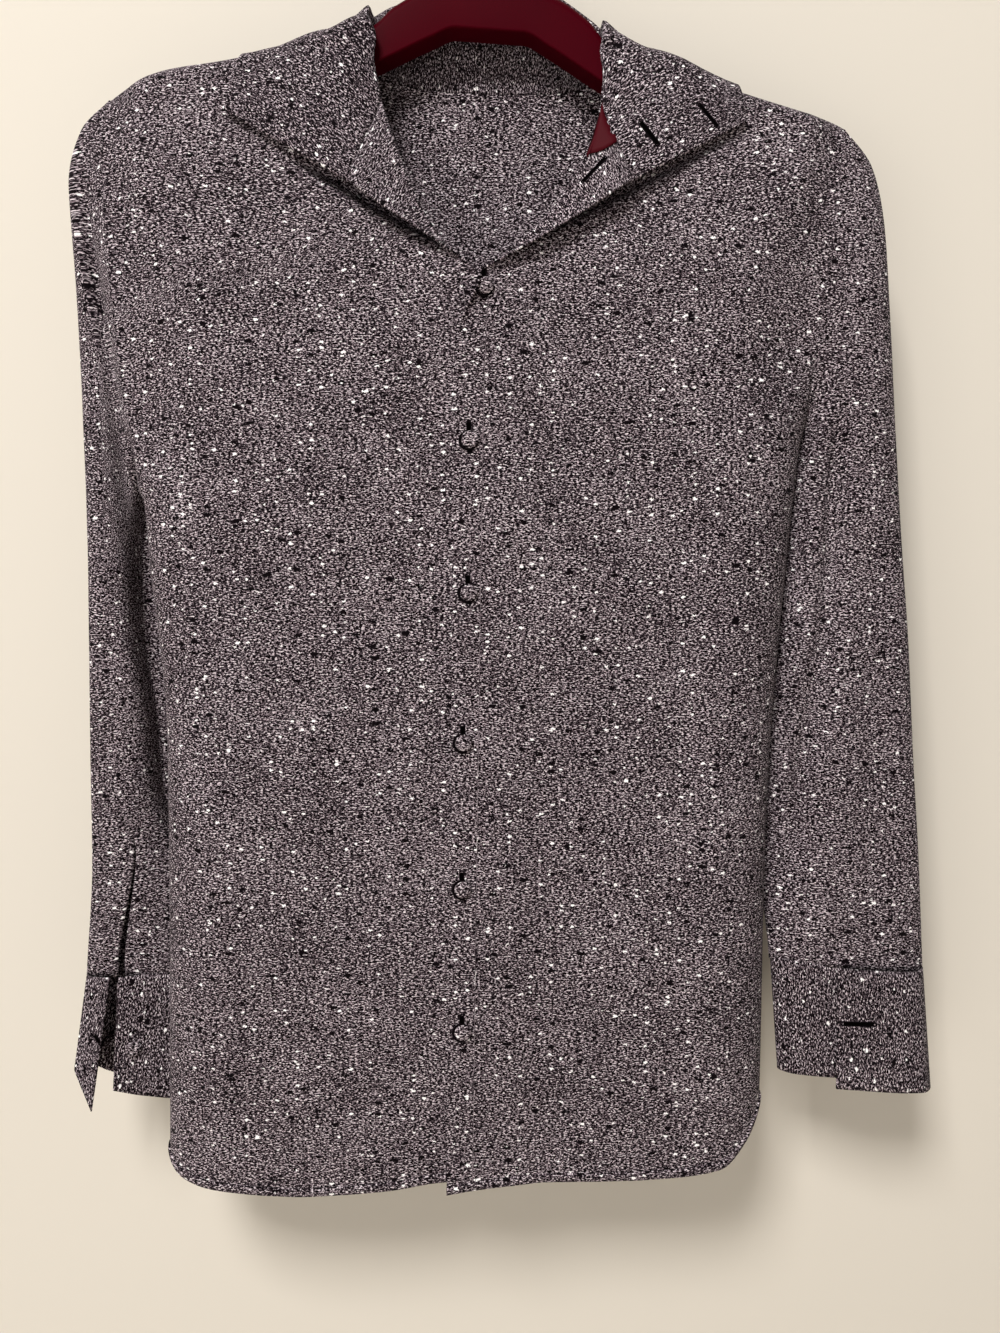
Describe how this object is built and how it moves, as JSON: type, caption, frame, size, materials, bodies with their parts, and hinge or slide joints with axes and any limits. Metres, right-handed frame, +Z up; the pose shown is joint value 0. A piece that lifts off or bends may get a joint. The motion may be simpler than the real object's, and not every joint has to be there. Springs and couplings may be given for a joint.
{
  "type": "button-down shirt on a hanger",
  "caption": "Long-sleeved button-down shirt in fine marled cloth with a tall turned-out collar, hanging on a solid coat hanger with a wire hook.",
  "frame": {"origin": "inner crown of the hanger's hook, where a rail carries it", "axes": "+X is the viewer's right of the front, +Y points from the front to the back, +Z is up; the wearer's left is +X"},
  "size_m": [0.5723, 0.0721, 0.8334],
  "materials": {
    "shirt_cloth": "matt, fine grey-mauve marl with pale flecks and black specks",
    "collar_cloth": "the same cloth, doubled and pressed",
    "button_cloth": "buttons covered with the same cloth",
    "label_cloth": "bare burgundy satin-weave tape",
    "hanger_bar": "burgundy lacquer, satin",
    "hanger_hook": "plain bent wire"
  },
  "bodies": {
    "root": {"back": "shirt_cloth", "front_right": "shirt_cloth", "front_left": "shirt_cloth", "collar": "collar_cloth", "sleeve_left": "shirt_cloth", "sleeve_right": "shirt_cloth", "cuff_left": "collar_cloth", "cuff_right": "collar_cloth", "neck_label": "label_cloth", "button_front_1": "button_cloth", "button_front_2": "button_cloth", "button_front_3": "button_cloth", "button_front_4": "button_cloth", "button_front_5": "button_cloth", "button_front_6": "button_cloth", "button_lapel": "button_cloth", "button_collar_1": "button_cloth", "button_collar_2": "button_cloth", "button_cuff_left": "button_cloth", "button_cuff_right": "button_cloth", "hanger_bar": "hanger_bar", "hanger_hook": "hanger_hook"}
  },
  "joints": []
}
